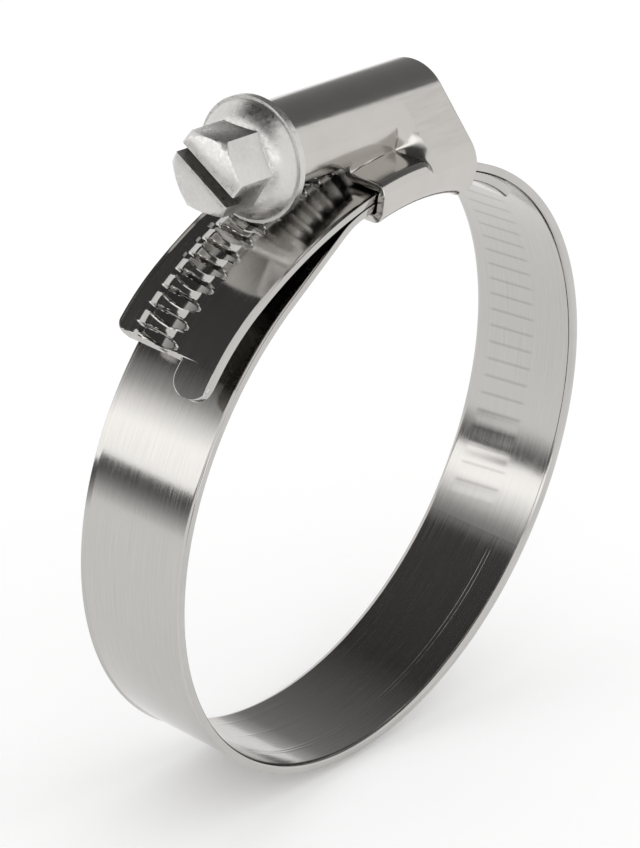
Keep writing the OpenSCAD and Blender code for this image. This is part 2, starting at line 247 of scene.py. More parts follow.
def direction(angle):
    """Unit vector in the XZ plane at an angle from +X towards +Z."""
    a = np.radians(angle)
    return np.stack([np.cos(a), np.sin(a)], axis=-1)


def circle_height(radius, v, least=0.0):
    """Height of a circle above its centre at a distance v from it, and least outside it."""
    return np.sqrt(np.clip(radius ** 2 - v ** 2, least ** 2, None))


def smooth_min(a, b, soft):
    """The lower of a and b, rounded off where they are closer than soft."""
    t = np.clip(0.5 + 0.5 * (b - a) / soft, 0, 1)
    return b * (1 - t) + a * t - soft * t * (1 - t)


# ---------- meshes ----------

def add_object(name, data):
    """Makes an object and links it to the scene."""
    obj = bpy.data.objects.new(name, data)
    bpy.context.collection.objects.link(obj)
    return obj


def add_mesh(name, points, faces, material, smooth=True, uv=None):
    """Makes a mesh object from points in millimetres, with faces as an index array."""
    mesh = bpy.data.meshes.new(name)
    mesh.from_pydata((np.asarray(points) * MM).tolist(), [], [list(f) for f in faces])
    mesh.materials.append(material)
    if uv is not None:
        layer = mesh.uv_layers.new(name="UVMap")
        loops = np.empty(len(mesh.loops), dtype=np.int32)
        mesh.loops.foreach_get("vertex_index", loops)
        layer.data.foreach_set("uv", np.asarray(uv)[loops].astype(np.float32).ravel())
    if smooth:
        mesh.polygons.foreach_set("use_smooth", [True] * len(mesh.polygons))
    mesh.update()
    return add_object(name, mesh)


def grid_faces(rows, columns, closed_columns=False):
    """Quads between neighbouring rows and columns of a grid of points."""
    last = columns if closed_columns else columns - 1
    i, j = np.meshgrid(np.arange(rows - 1), np.arange(last), indexing="ij")
    k = (j + 1) % columns
    here, beyond = i * columns, (i + 1) * columns
    return np.stack([here + j, here + k, beyond + k, beyond + j], -1).reshape(-1, 4)


def mark_painted_shade(obj, dark):
    """Stores how much painted shade each point gets, from 0 to 1, for the finishes."""
    painted_shade = obj.data.attributes.new("painted_shade", "FLOAT", "POINT")
    painted_shade.data.foreach_set("value", dark.astype(np.float32).ravel())


# ---------- strip ----------

def strip_path(stretches, step):
    """Middle line of the hose side of a strip, as points, outward normals and lengths.

    Each stretch is (centre, radius, from angle, to angle): points lie at
    centre + radius * direction(angle), and the normal is direction(angle). Lengths
    are measured in the middle of the strip's thickness.
    """
    points, normals, along, run = [], [], [], 0.0
    for n, (centre, radius, a0, a1) in enumerate(stretches):
        turn = abs(math.radians(a1 - a0))
        count = max(2, int(math.ceil(turn * radius / step)) + 1)
        angles = np.linspace(a0, a1, count)[1 if n else 0:]
        normal = direction(angles)
        points.append(np.asarray(centre) + radius * normal)
        normals.append(normal)
        along.append(run + np.abs(np.radians(angles - a0)) * (radius + STRIP_T / 2))
        run += turn * (radius + STRIP_T / 2)
    return np.vstack(points), np.vstack(normals), np.concatenate(along)


def across(flat_count):
    """Places across the strip from edge to edge, closest together on the flared edges."""
    foot = STRIP_W / 2 - LIP_W
    flat = np.linspace(-foot + FOOT_GAP, foot - FOOT_GAP, flat_count)
    lip = foot + LIP_W * np.sin(np.linspace(0, math.pi / 2, LIP_POINTS + 1))[1:]
    return np.concatenate([-lip[::-1], [-foot], flat, [foot], lip])


def lip_height(y):
    """Height of the flared edges: a slope with a rounded foot over the last LIP_W."""
    t = np.clip((np.abs(y) - (STRIP_W / 2 - LIP_W)) / LIP_W, 0, 1)
    return LIP_H * (1 + LIP_SOFT) * t * t / (t + LIP_SOFT)


def edge_round(inside):
    """How far a point that lies that far inside the sheared edge is rounded off."""
    t = np.clip((SHEAR_R - inside) / SHEAR_R, 0, 1)
    return SHEAR_R * (1 - circle_height(1, t))


def strip_mesh(name, path, material, outer=None, inner=None, left=None, right=None,
               rows=None, places=None, slant=None, painted_shade=None):
    """Closed strip: outer side, inner side and both edges along a path.

    A point lies at path + normal * height, and at y across. outer(along, y) and
    inner(along, y) add a height to the two sides. left and right give the strip's
    edges across at each row, and default to half its width. rows are places along the
    path, and places are places across a strip of full width. slant(along, y) moves a
    row's points back along the path. painted_shade(along, y) gives how much painted
    shade the outer and inner side get, from 0 to 1.
    """
    points, normals, along = path
    rows = along if rows is None else rows
    places = across(12) if places is None else places
    low = np.broadcast_to(-STRIP_W / 2 if left is None else left, rows.shape)
    high = np.broadcast_to(STRIP_W / 2 if right is None else right, rows.shape)
    share = (places + STRIP_W / 2) / STRIP_W
    y = low[:, None] + (high - low)[:, None] * share[None, :]
    s = np.broadcast_to(rows[:, None], y.shape)
    if slant is not None:
        s = s - slant(s, y)
    rounding = edge_round(np.minimum(y - low[:, None], high[:, None] - y))
    top = STRIP_T + lip_height(y) - rounding
    bottom = lip_height(y) + rounding
    if outer is not None:
        top = top + outer(s, y)
    if inner is not None:
        bottom = bottom + inner(s, y)

    # Each row is a ring: out over the top and back along the bottom
    ring_h, ring_y, ring_s = (np.concatenate([a, b[:, ::-1]], axis=1)
                              for a, b in ((top, bottom), (y, y), (s, s)))
    x, z, nx, nz = (np.interp(ring_s, along, v) for v in (*points.T, *normals.T))
    size = np.hypot(nx, nz)
    verts = np.stack([x + nx / size * ring_h, ring_y, z + nz / size * ring_h], axis=-1)
    uv = np.stack([ring_s, ring_y], axis=-1) * UV_SCALE
    count, columns = ring_h.shape
    faces = grid_faces(count, columns, closed_columns=True).tolist()
    for row in (0, count - 1):
        first, last = row * columns, (row + 1) * columns - 1
        cap = [(first + j, first + j + 1, last - j - 1, last - j)
               for j in range(columns // 2 - 1)]
        faces += [c[::-1] for c in cap] if row else cap
    obj = add_mesh(name, verts.reshape(-1, 3), faces, material, uv=uv.reshape(-1, 2))
    if painted_shade is not None:
        above, below = painted_shade(s, y)
        mark_painted_shade(obj, np.concatenate([above, below[:, ::-1]], axis=1))
    return obj


# ---------- paths along the strip ----------

def end_angle():
    """Angle on the fixed layer's circle at which it leaves the sleeve."""
    return 90 - math.degrees(math.asin((SLEEVE_RIGHT - TRACK[0]) / FIXED_R))


def fixed_end_path(step):
    """From the fixed end's tip through the housing and down the dip to the loop."""
    a1 = end_angle()
    turn = math.degrees(END_REACH / math.cos(math.radians(a1 - 90)) / (END_BEND_R + STRIP_T / 2))
    bend_centre = TRACK + (FIXED_R - END_BEND_R) * direction(a1)
    dip_centre = TRACK + (FIXED_R - DIP_R) * direction(DIP_FROM)
    reach = float(np.linalg.norm(dip_centre))
    towards = math.degrees(math.atan2(dip_centre[1], dip_centre[0]))
    dip_len = reach * math.sin(math.radians(DIP_TO - towards))
    line_turn = math.degrees(dip_len / LINE_R)
    line_centre = dip_centre + (DIP_R - LINE_R) * direction(DIP_TO)
    return strip_path([
        (bend_centre, END_BEND_R, a1 - turn, a1),
        (TRACK, FIXED_R, a1, DIP_FROM),
        (dip_centre, DIP_R, DIP_FROM, DIP_TO),
        (line_centre, LINE_R, DIP_TO, DIP_TO + line_turn),
        ((0, 0), HOSE_R, DIP_TO, SEAM_AT),
    ], step)


STEP_LEN = math.radians(TOOTH_ANGLE) * (TRACK_R + STRIP_T / 2)
TEETH_LEN = (TIP_SPACES + 0.5) * STEP_LEN
TOP_ALONG = math.radians(90 - SPLIT) * (TRACK_R + STRIP_T / 2)
TEETH_START = TOP_ALONG + (FIRST_SPACE - START_SHARE) * STEP_LEN
TEETH_END = TOP_ALONG + TEETH_LEN
GENTLE_FROM = TRACK + (TRACK_R - GENTLE_R) * direction(LEAVE)
TIP_ANGLE = LEAVE + GENTLE_TURN
TIP_FROM = GENTLE_FROM + (GENTLE_R - TIP_R) * direction(TIP_ANGLE)
BEFORE_TIP = (math.radians(LEAVE - 90) * (TRACK_R + STRIP_T / 2)
              + math.radians(GENTLE_TURN) * (GENTLE_R + STRIP_T / 2))
TEETH_ANGLE = TIP_ANGLE + math.degrees((TEETH_LEN - BEFORE_TIP) / (TIP_R + STRIP_T / 2))


def toothed_path(step):
    """From the split up the right side, over the top and down to the last ridge."""
    return strip_path([
        (TRACK, TRACK_R, SPLIT, LEAVE),
        (GENTLE_FROM, GENTLE_R, LEAVE, TIP_ANGLE),
        (TIP_FROM, TIP_R, TIP_ANGLE, TEETH_ANGLE),
    ], step)


# ---------- teeth ----------

def tooth_phase(along, y):
    """Distance along the strip from the nearest tooth space's slanted centre line."""
    s = along - TOP_ALONG + (y - WORM_Y) * math.tan(math.radians(LEAD_ANGLE))
    k = np.clip(np.round(s / STEP_LEN), FIRST_SPACE, TIP_SPACES)
    return s - k * STEP_LEN


def space_half(v):
    """Half width of a tooth space at its mouth: an ellipse across the strip."""
    return SPACE_W * circle_height(1, v / SPACE_REACH)


def tooth_height(along, y):
    """Height that the teeth add to the outer side.

    A ridge is a bar across the strip whose top falls towards both ends, and it sinks in
    its middle along a circle of radius CREST_R. The bottom of the space between two
    ridges follows a circle of radius SPACE_R, its mouth is an ellipse, and its sides
    stand at SPACE_SLOPE from upright. A thin rim of RIM_H follows the mouth. At the far
    end the gap between two bars is pressed in by GAP_DROP, and the strip's end is cut
    at a slant.
    """
    side = y - WORM_Y
    v = np.abs(side)
    s = np.abs(tooth_phase(along, y))
    fall = np.where(side > 0, FAR_FALL, NEAR_FALL)
    top = np.clip(FACET_H - fall * (v - FACET_FROM), 0, FACET_H)
    bar = np.clip((s - BAR_FROM) / BAR_SIDE, 0, 1)
    ridge = top * bar - np.where(side > 0, GAP_DROP, 0) * (1 - bar)
    ridge = ridge * np.clip((RIDGE_HALF + RIDGE_FADE - v) / RIDGE_FADE, 0, 1)
    ridge = ridge * np.clip((along - TEETH_START) / START_FADE, 0, 1)

    level = SPACE_R - TOOTH_DEPTH
    crest = level - circle_height(CREST_R, v, least=0.1)
    bottom = level - circle_height(SPACE_R, v, least=0.1)
    beyond = s - space_half(v)
    wall = np.clip(beyond + SIDE_FOOT, 0, None) / math.tan(math.radians(SPACE_SLOPE))
    rim = RIM_H * np.exp(-((beyond - RIM_AT) / RIM_W) ** 2)
    rim = rim * np.clip((SPACE_REACH - v) / RIM_FADE, 0, 1)
    height = smooth_min(smooth_min(ridge, crest, CREST_SOFT), bottom + wall, SIDE_SOFT) + rim
    slant = np.clip(along - (TEETH_END - END_SLANT), 0, None) * END_FALL
    return height - slant * np.clip((y + STRIP_W / 2 - TONGUE_W) / TONGUE_FADE, 0, 1)


def tooth_zone(along, y):
    """1 where the strip has teeth, and 0 beside and before them."""
    window = 1 / (1 + np.exp((np.abs(y - WORM_Y) - ZONE_HALF) / ZONE_SOFT))
    return window * np.clip((along - TEETH_START) / START_FADE, 0, 1)


def press_mark(along, y):
    """Faint waves that the pressed spaces leave on the hose side."""
    wave = 1 + np.cos(TAU * tooth_phase(along, y) / STEP_LEN)
    return -MARK_DEPTH / 2 * wave * tooth_zone(along, y)


def tooth_painted_shade(along, y):
    """Painted shade: in the bottoms of the spaces outside, and below each bulge inside.

    The painted shade in the bottoms is darker towards the near edge.
    """
    s = tooth_phase(along, y)
    zone = tooth_zone(along, y)
    mouth = space_half(np.abs(y - WORM_Y))
    floor = np.clip((mouth - SHADE_IN - np.abs(s)) / SHADE_SOFT, 0, 1)
    near = np.clip((WORM_Y - y) / NEAR_FADE, 0, 1)
    line = np.exp(-((s - BULGE_AT) / BULGE_HALF) ** 2)
    return (SHADE_DARK + NEAR_DARK * near) * floor * zone, BULGE_DARK * line * zone


def follow_teeth(along, y):
    """How far rows lean with the teeth: the lead angle's slope, faded at edges and ends."""
    lean = np.clip(y - WORM_Y, -LEAN_HALF, LEAN_HALF) * math.tan(math.radians(LEAD_ANGLE))
    lean = lean * np.clip((LEAN_EDGE - np.abs(y)) / LEAN_EDGE_FADE, 0, 1)
    return lean * np.clip(np.minimum(along, TEETH_END - along) / LEAN_END_FADE, 0, 1)


def tooth_rows(length):
    """Rows along the strip: a few before the teeth, and the closest on the free end."""
    rows = []
    for k in range(FIRST_SPACE, TIP_SPACES + 1):
        on_free_end = k > 1
        half = np.linspace(ROW_FROM, ROW_TO, 14 if on_free_end else 6)
        offsets = np.concatenate([-half[::-1], [0], half, [STEP_LEN / 2]])
        rows.append(TOP_ALONG + k * STEP_LEN + offsets)
    rows = np.concatenate(rows)
    plain = np.linspace(0, rows[0] - PLAIN_GAP, 8)
    return np.concatenate([plain, rows[rows < length - LEAST_GAP], [length]])


def tooth_places():
    """Places across the strip, closer together where the teeth are."""
    lips = across(2)
    near, far = lips[:LIP_POINTS + 2], lips[LIP_POINTS + 2:]
    teeth = np.linspace(-PLACES_HALF, PLACES_HALF, 22)
    middle = WORM_Y + np.concatenate([[-LEAN_HALF, -RIDGE_HALF], teeth, [RIDGE_HALF, LEAN_HALF]])
    return np.concatenate([near, PLAIN_NEAR, middle, PLAIN_FAR, far])


def rounded_end(along, length, radius):
    """How far a corner of that radius draws the edge in, near the end of the strip."""
    t = np.clip(along - (length - radius), 0, radius)
    return radius - circle_height(radius, t)


# ---------- pieces of the strip ----------

def make_fixed_end(material):
    """Plain end that lies in the housing under the toothed one."""
    obj = strip_mesh("strip_fixed_end", fixed_end_path(step=0.4), material)
    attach(obj, "loop")
    return obj


def rolled_lines(along, y):
    """Fine lines rolled along the hose side, faded in and out along the loop."""
    end = math.radians(360 + SPLIT - SEAM_AT) * (HOSE_R + STRIP_T / 2)
    fade = np.clip(along / LINE_FADE_IN, 0, 1) * np.clip((end - along) / LINE_FADE_OUT, 0, 1)
    lines = sum(-depth * np.exp(-((y - place) / LINE_HALF) ** 2) for place, depth in ROLLED_LINES)
    return lines * fade


def make_loop(material):
    """Smooth part of the loop."""
    path = strip_path([((0, 0), HOSE_R, SEAM_AT, 360 + SPLIT)], step=0.35)
    beside = np.array([-3, -1.5, 0, 1.5, 3]) * LINE_HALF
    places = np.sort(np.concatenate([across(7)] + [place + beside for place, _ in ROLLED_LINES]))
    obj = strip_mesh("strip_loop", path, material, inner=rolled_lines, places=places)
    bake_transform(obj)
    return obj


def make_toothed(material):
    """Toothed end from the split to its last ridge, with one rounded corner."""
    path = toothed_path(step=0.1)
    length = path[2][-1]
    rows = tooth_rows(length)
    high = STRIP_W / 2 - rounded_end(rows, length, CORNER_R)
    obj = strip_mesh("strip_toothed", path, material, outer=tooth_height, inner=press_mark,
                     right=high, rows=rows, places=tooth_places(), slant=follow_teeth,
                     painted_shade=tooth_painted_shade)
    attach(obj, "toothed_end")
    return obj


def make_tongue(material):
    """Plain tongue beside the teeth, nearly straight, with a rounded end."""
    turn = TONGUE_TURN * (TIP_R + STRIP_T / 2) / (TONGUE_BEND_R + STRIP_T / 2)
    centre = TIP_FROM + (TIP_R - TONGUE_BEND_R) * direction(TEETH_ANGLE)
    path = strip_path([(centre, TONGUE_BEND_R, TEETH_ANGLE, TEETH_ANGLE + turn)], step=0.06)
    drawn = rounded_end(path[2], path[2][-1] + TONGUE_CUT, TONGUE_R)
    sheared = np.linspace(0, 1, 7) ** 2 * SHEAR_R
    lip = STRIP_W / 2 + across(2)[:LIP_POINTS + 1]
    flat = np.linspace(TONGUE_FLAT[0], TONGUE_W - TONGUE_FLAT[1], 16)
    inside = np.concatenate([lip, flat, TONGUE_W - sheared[::-1]])
    obj = strip_mesh("strip_tongue", path, material, places=(inside / TONGUE_W - 0.5) * STRIP_W,
                     left=-STRIP_W / 2 + drawn, right=-STRIP_W / 2 + TONGUE_W - drawn)
    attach(obj, "toothed_end")
    return obj


# ---------- housing ----------

def circle_z(radius, x):
    """Height of a circle round the track's centre at a place along X."""
    return TRACK[1] + math.sqrt(radius ** 2 - (x - TRACK[0]) ** 2)


def bow(cy, cz, radius, a0, a1, count=24):
    """Points of an arc in the YZ plane."""
    a = np.radians(np.linspace(a0, a1, count))
    return np.stack([cy + radius * np.cos(a), cz + radius * np.sin(a)], -1)


def tangent_angle(side, foot_r, foot_z):
    """Direction, seen from the screw, in which the slope touches tube and foot."""
    reach = np.array([side * (WALL_HALF - foot_r) - WORM_Y, foot_z - SCREW_Z])
    turn = math.degrees(math.acos((TUBE_R - foot_r) / np.linalg.norm(reach)))
    return math.degrees(math.atan2(reach[1], reach[0])) % 360 + side * turn


def resample(points, count):
    """Even steps along a run of points."""
    run = np.concatenate([[0], np.cumsum(np.linalg.norm(np.diff(points, axis=0), axis=1))])
    t = np.linspace(0, run[-1], count)
    return np.stack([np.interp(t, run, points[:, k]) for k in (0, 1)], -1)


def shoulder(x, count):
    """Near wall's top up to the tube: pinched in on the left, one slope on the right."""
    roof = circle_z(ROOF_R, x)
    near = tangent_angle(-1, NEAR_FOOT_R, NEAR_FOOT_Z)
    tube_low = bow(WORM_Y, SCREW_Z, TUBE_R, CREASE_AT, SHARED_AT)
    pinched = np.vstack([
        bow(-WALL_HALF + FOLD_R, roof - FOLD_R, FOLD_R, 180, 90),
        bow(tube_low[0, 0] - CREASE_GAP, roof + CREASE_R, CREASE_R, 270, 330, 8),
        tube_low[2:],
    ])
    slope = np.vstack([
        bow(-WALL_HALF + NEAR_FOOT_R, NEAR_FOOT_Z, NEAR_FOOT_R, 180, near),
        bow(WORM_Y, SCREW_Z, TUBE_R, near, SHARED_AT),
    ])
    t = min(max((x - PINCH_FROM) / (PINCH_TO - PINCH_FROM), 0), 1)
    return resample(pinched, count) * (1 - t) + resample(slope, count) * t


def lower_run(x, side, top_z):
    """Wall from top_z down, round the fold and along the floor to the seam."""
    floor_z = circle_z(FLOOR_R, x)
    a0, a1 = (0, -90) if side > 0 else (180, 270)
    fold = bow(side * (WALL_HALF - FOLD_R), floor_z + FOLD_R, FOLD_R, a0, a1, 12)
    wall = np.linspace((side * WALL_HALF, top_z), fold[0], 10)
    floor = np.linspace(fold[-1], (SEAM_Y + side * SEAM_HALF, floor_z), 12)
    return np.vstack([wall, fold[1:], floor[1:]])


def housing_section(x):
    """Outside of the housing as one run: near floor, near wall, tube, far wall, far floor."""
    upper = shoulder(x, 70)
    near = lower_run(x, -1, upper[0, 1])[::-1]
    slope = tangent_angle(1, FAR_FOOT_R, FAR_FOOT_Z) % 360
    over = np.vstack([
        bow(WORM_Y, SCREW_Z, TUBE_R, SHARED_AT, slope, 70),
        bow(WALL_HALF - FAR_FOOT_R, FAR_FOOT_Z, FAR_FOOT_R, slope, 0, 16),
    ])
    far = lower_run(x, 1, FAR_FOOT_Z)
    return np.vstack([near[:-1], upper, over[1:], far[1:]])


def grid_along_x(xs, sections):
    """Points at each place along X, from one section for all of them or one for each."""
    sections = np.broadcast_to(sections, (len(xs),) + sections.shape[-2:])
    return np.concatenate([np.broadcast_to(xs[:, None, None], sections.shape[:2] + (1,)),
                           sections], -1)


def sheet_faces(rows, columns):
    """Faces of a closed sheet: outer grid, inner grid, and the rims between them."""
    n = rows * columns
    outer = grid_faces(rows, columns)
    inner = outer[:, ::-1] + n
    first, last = np.arange(columns), (rows - 1) * columns + np.arange(columns)
    left, right = np.arange(rows) * columns, np.arange(rows) * columns + columns - 1

    def rim(line):
        return np.stack([line[:-1], line[1:], line[1:] + n, line[:-1] + n], -1)

    return np.vstack([outer, inner, rim(first)[:, ::-1], rim(last), rim(left),
                      rim(right)[:, ::-1]])


def rounded_rows(outer, normal, radii):
    """Outer and inner points of a sheet whose first and last rows are rounded off by radii.

    At a turn t the rim lies at edge + a * EDGE_R * (1 - sin t), set inwards by
    radius * (1 - cos t), where a points along the sheet and away from the edge.
    """
    turn = np.radians(EDGE_TURNS)[:, None, None]
    ends = []
    for (edge, beside), radius in zip(((0, 1), (-1, -2)), radii):
        radius = np.reshape(radius, (1, -1, 1))
        a = outer[beside] - outer[edge]
        a = a / np.linalg.norm(a, axis=-1, keepdims=True)
        shift, inset = EDGE_R * (1 - np.sin(turn)), radius * (1 - np.cos(turn))
        ends.append([outer[edge] + a * shift - normal[edge] * depth
                     for depth in (inset, SHEET_T - inset)])
    middle = (outer[1:-1], (outer - SHEET_T * normal)[1:-1])
    return [np.concatenate([ends[0][k], middle[k], ends[1][k][::-1]]) for k in (0, 1)]


def sheet_mesh(name, outer, material, radii):
    """Sheet of metal: a grid of outer points, and the same grid set inwards by SHEET_T.

    radii round off its first and last row. Where two sheets meet, theirs is 0.
    """
    columns = outer.shape[1]
    normal = np.cross(np.gradient(outer, axis=0), np.gradient(outer, axis=1))
    normal /= np.linalg.norm(normal, axis=-1, keepdims=True)
    top = (0, columns // 2)
    if ((outer[top] - SHEET_INSIDE) * normal[top]).sum() < 0:
        normal = -normal
    outer, inner = rounded_rows(outer, normal, radii)
    points = np.concatenate([outer.reshape(-1, 3), inner.reshape(-1, 3)])
    return add_mesh(name, points, sheet_faces(len(outer), columns), material)


def make_housing(material):
    """Sleeve round the strip and worm, and the tube round the screw's bearing."""
    xs = np.concatenate([np.linspace(SLEEVE_LEFT, PINCH_FROM, 24)[:-1],
                         np.linspace(PINCH_FROM, PINCH_TO, 40),
                         np.linspace(PINCH_TO, SLEEVE_RIGHT, 40)[1:]])
    outer = grid_along_x(xs, np.stack([housing_section(x) for x in xs]))
    # The heel: below HEEL_R the right end follows a circle
    depth = np.clip(HEEL_Z + HEEL_R - outer[..., 2], 0, HEEL_R)
    right = SLEEVE_RIGHT - HEEL_R + circle_height(HEEL_R, depth)
    share = (outer[..., 0] - SLEEVE_LEFT) / (SLEEVE_RIGHT - SLEEVE_LEFT)
    outer[..., 0] = SLEEVE_LEFT + share * (right - SLEEVE_LEFT)
    off_tube = np.hypot(outer[0, :, 1] - WORM_Y, outer[0, :, 2] - SCREW_Z) - TUBE_R
    left_r = EDGE_R * np.clip(off_tube / SHARED_EDGE, 0, 1)
    body = sheet_mesh("housing_sleeve", outer, material, (left_r, EDGE_R))

    edge = math.degrees(math.asin(ARCH_DROP / TUBE_R))
    ring = bow(WORM_Y, SCREW_Z, TUBE_R, 180 + edge, -edge, 120)
    tube = grid_along_x(np.linspace(TUBE_LEFT, SLEEVE_LEFT, 20), ring)
    neck = sheet_mesh("housing_tube", tube, material, (EDGE_R, 0))
    for piece in (body, neck):
        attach(piece, "loop")
    return [body, neck]


# ---------- screw ----------

def finished_copy(node, name, material, body, bevel):
    """Copy of a CAD piece with its flat faces joined and its edges rounded."""
    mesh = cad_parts[node].data.copy()
    mesh.name = name
    mesh.materials.clear()
    mesh.materials.append(material)
    work = bmesh.new()
    work.from_mesh(mesh)
    bmesh.ops.remove_doubles(work, verts=work.verts, dist=SAME_POINT * MM)
    bmesh.ops.dissolve_limit(work, angle_limit=math.radians(SCREW_FLAT), verts=work.verts,
                             edges=work.edges)
    for face in work.faces:
        face.smooth = True
    work.to_mesh(mesh)
    work.free()
    mesh.set_sharp_from_angle(angle=math.radians(SCREW_SHARP))
    obj = add_object(name, mesh)
    rounding = obj.modifiers.new("rounding", "BEVEL")
    rounding.width = bevel * MM
    rounding.segments = 2
    rounding.limit_method = "ANGLE"
    rounding.angle_limit = math.radians(SCREW_SHARP)
    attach(obj, body)
    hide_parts(node)
    return obj


def mark_slot_shade(obj):
    """Marks the points at the bottom of the driver slot for painted shade."""
    points = np.array([v.co for v in obj.data.vertices]) / MM
    turn = math.radians(SLOT_TURN)
    off = (points[:, 1] - WORM_Y) * math.cos(turn) - (points[:, 2] - SCREW_Z) * math.sin(turn)
    at_bottom = np.abs(points[:, 0] - SLOT_BOTTOM) < SLOT_DEPTH_NEAR
    mark_painted_shade(obj, at_bottom & (np.abs(off) < SLOT_HALF + SLOT_SIDE_NEAR))


# ---------- finishes ----------

def add_node(tree, kind, inputs=None, **settings):
    """Adds a shader node, sets its properties, then links or sets its inputs."""
    node = tree.nodes.new(kind)
    for key, value in settings.items():
        setattr(node, key, value)
    for key, value in (inputs or {}).items():
        if isinstance(value, bpy.types.NodeSocket):
            tree.links.new(value, node.inputs[key])
        else:
            node.inputs[key].default_value = value
    return node


def new_group(name, inputs, outputs):
    """Empty shader group. The input Vector is a vector, and all others are floats."""
    tree = bpy.data.node_groups.new(name, "ShaderNodeTree")
    for labels, way in ((inputs, "INPUT"), (outputs, "OUTPUT")):
        for label in labels:
            kind = "NodeSocketVector" if label == "Vector" else "NodeSocketFloat"
            tree.interface.new_socket(name=label, in_out=way, socket_type=kind)
    return tree, tree.nodes.new("NodeGroupInput"), tree.nodes.new("NodeGroupOutput")


def streak_group():
    """Fine lines along one direction: noise squeezed across it and drawn out along it."""
    tree, entry, leave = new_group("streaks", ("Vector", "Along", "Across"), ("Fine",))
    parts = add_node(tree, "ShaderNodeSeparateXYZ", {0: entry.outputs["Vector"]})
    u, v = (add_node(tree, "ShaderNodeMath", {0: parts.outputs[axis], 1: entry.outputs[label]},
                     operation="MULTIPLY")
            for axis, label in enumerate(("Along", "Across")))
    place = add_node(tree, "ShaderNodeCombineXYZ",
                     {0: u.outputs[0], 1: v.outputs[0], 2: parts.outputs[2]})
    fine = add_node(tree, "ShaderNodeTexNoise",
                    {"Vector": place.outputs[0], "Scale": 1.0, "Detail": 4.0, "Roughness": 0.65})
    tree.links.new(fine.outputs[0], leave.inputs["Fine"])
    return tree


def grain_group():
    """Small pits and bumps of a plated surface, from two sizes of noise."""
    tree, entry, leave = new_group("grain", ("Vector",), ("Pits", "Clouds"))
    pits = add_node(tree, "ShaderNodeTexNoise",
                    {"Vector": entry.outputs["Vector"], "Scale": PIT_SCALE, "Detail": 3.0,
                     "Roughness": 0.6})
    clouds = add_node(tree, "ShaderNodeTexNoise",
                      {"Vector": entry.outputs["Vector"], "Scale": CLOUD_SCALE, "Detail": 2.0})
    tree.links.new(pits.outputs[0], leave.inputs["Pits"])
    tree.links.new(clouds.outputs[0], leave.inputs["Clouds"])
    return tree


def map_range(tree, value, span, to):
    """Carries the values of a span over to another range."""
    node = add_node(tree, "ShaderNodeMapRange", {"Value": value, "From Min": span[0],
                                                 "From Max": span[1], "To Min": to[0],
                                                 "To Max": to[1]})
    return node.outputs["Result"]


def mixed(tree, factor, first, second):
    """Colour from first to second, as the factor goes from 0 to 1."""
    mix = add_node(tree, "ShaderNodeMix", {"Factor": factor, 6: first, 7: second},
                   data_type="RGBA")
    return mix.outputs[2]


def tinted(tree, factor, colour, spread):
    """Colour that varies by a share around its own value."""
    dark = [c * (1 - spread) for c in colour] + [1]
    light = [c * (1 + spread) for c in colour] + [1]
    return mixed(tree, factor, dark, light)


def with_painted_shade(tree, colour, dark):
    """Colour with painted shade where the mesh is marked for it."""
    painted_shade = add_node(tree, "ShaderNodeAttribute", attribute_name="painted_shade")
    return mixed(tree, painted_shade.outputs["Fac"], colour, dark)


def metal(name, colour):
    """New metal of one colour, as material, node tree and shader."""
    material = bpy.data.materials.new(name)
    material.use_nodes = True
    tree = material.node_tree
    shader = tree.nodes["Principled BSDF"]
    shader.inputs["Metallic"].default_value = 1.0
    shader.inputs["Base Color"].default_value = (*colour, 1)
    return material, tree, shader


def dress(tree, shader, rough, colour, height, strength, distance):
    """Links a metal's roughness and colour, and a bump whose distance is in millimetres."""
    bump = add_node(tree, "ShaderNodeBump", {"Height": height, "Strength": strength,
                                             "Distance": distance * MM})
    for socket, label in ((rough, "Roughness"), (colour, "Base Color"),
                          (bump.outputs[0], "Normal")):
        tree.links.new(socket, shader.inputs[label])


def strip_steel(streaks):
    """Satin strip, brushed along its length."""
    material, tree, shader = metal("strip_steel", STRIP_COLOUR)
    uv = add_node(tree, "ShaderNodeUVMap", uv_map="UVMap")
    lines = add_node(tree, "ShaderNodeGroup",
                     {"Vector": uv.outputs[0], "Along": 1.3, "Across": 75.0},
                     node_tree=streaks).outputs["Fine"]
    tone = map_range(tree, lines, TONE_SPAN, (0.0, 1.0))
    # The colour gets painted shade in the tooth spaces and below the bulges
    dress(tree, shader,
          rough=map_range(tree, lines, ROUGH_SPAN, (0.07, 0.16)),
          colour=with_painted_shade(tree, tinted(tree, tone, STRIP_COLOUR, 0.07), SHADE_COLOUR),
          height=lines, strength=0.13, distance=0.02)
    return material


def housing_steel(streaks, grain):
    """Rolled sheet, nearly smooth, with faint lines along the screw."""
    material, tree, shader = metal("housing_sheet", SHEET_COLOUR)
    place = add_node(tree, "ShaderNodeTexCoord").outputs["Object"]
    lines = add_node(tree, "ShaderNodeGroup",
                     {"Vector": place, "Along": 160.0, "Across": 3500.0},
                     node_tree=streaks).outputs["Fine"]
    clouds = add_node(tree, "ShaderNodeGroup", {"Vector": place},
                      node_tree=grain).outputs["Clouds"]
    dress(tree, shader,
          rough=map_range(tree, lines, ROUGH_SPAN, (0.12, 0.2)),
          colour=tinted(tree, clouds, SHEET_COLOUR, 0.05),
          height=clouds, strength=0.25, distance=0.06)
    return material


def screw_steel(grain):
    """Zinc-plated screw, bright and slightly grainy."""
    material, tree, shader = metal("screw_plating", SCREW_COLOUR)
    place = add_node(tree, "ShaderNodeTexCoord").outputs["Object"]
    plating = add_node(tree, "ShaderNodeGroup", {"Vector": place}, node_tree=grain)
    pits = plating.outputs["Pits"]
    tone = map_range(tree, plating.outputs["Clouds"], TONE_SPAN, (0.0, 1.0))
    # The colour gets painted shade at the bottom of the driver slot
    dress(tree, shader,
          rough=map_range(tree, pits, ROUGH_SPAN, (0.26, 0.42)),
          colour=with_painted_shade(tree, tinted(tree, tone, SCREW_COLOUR, 0.05), SLOT_SHADE_COLOUR),
          height=pits, strength=0.45, distance=0.05)
    return material


# ---------- stage ----------

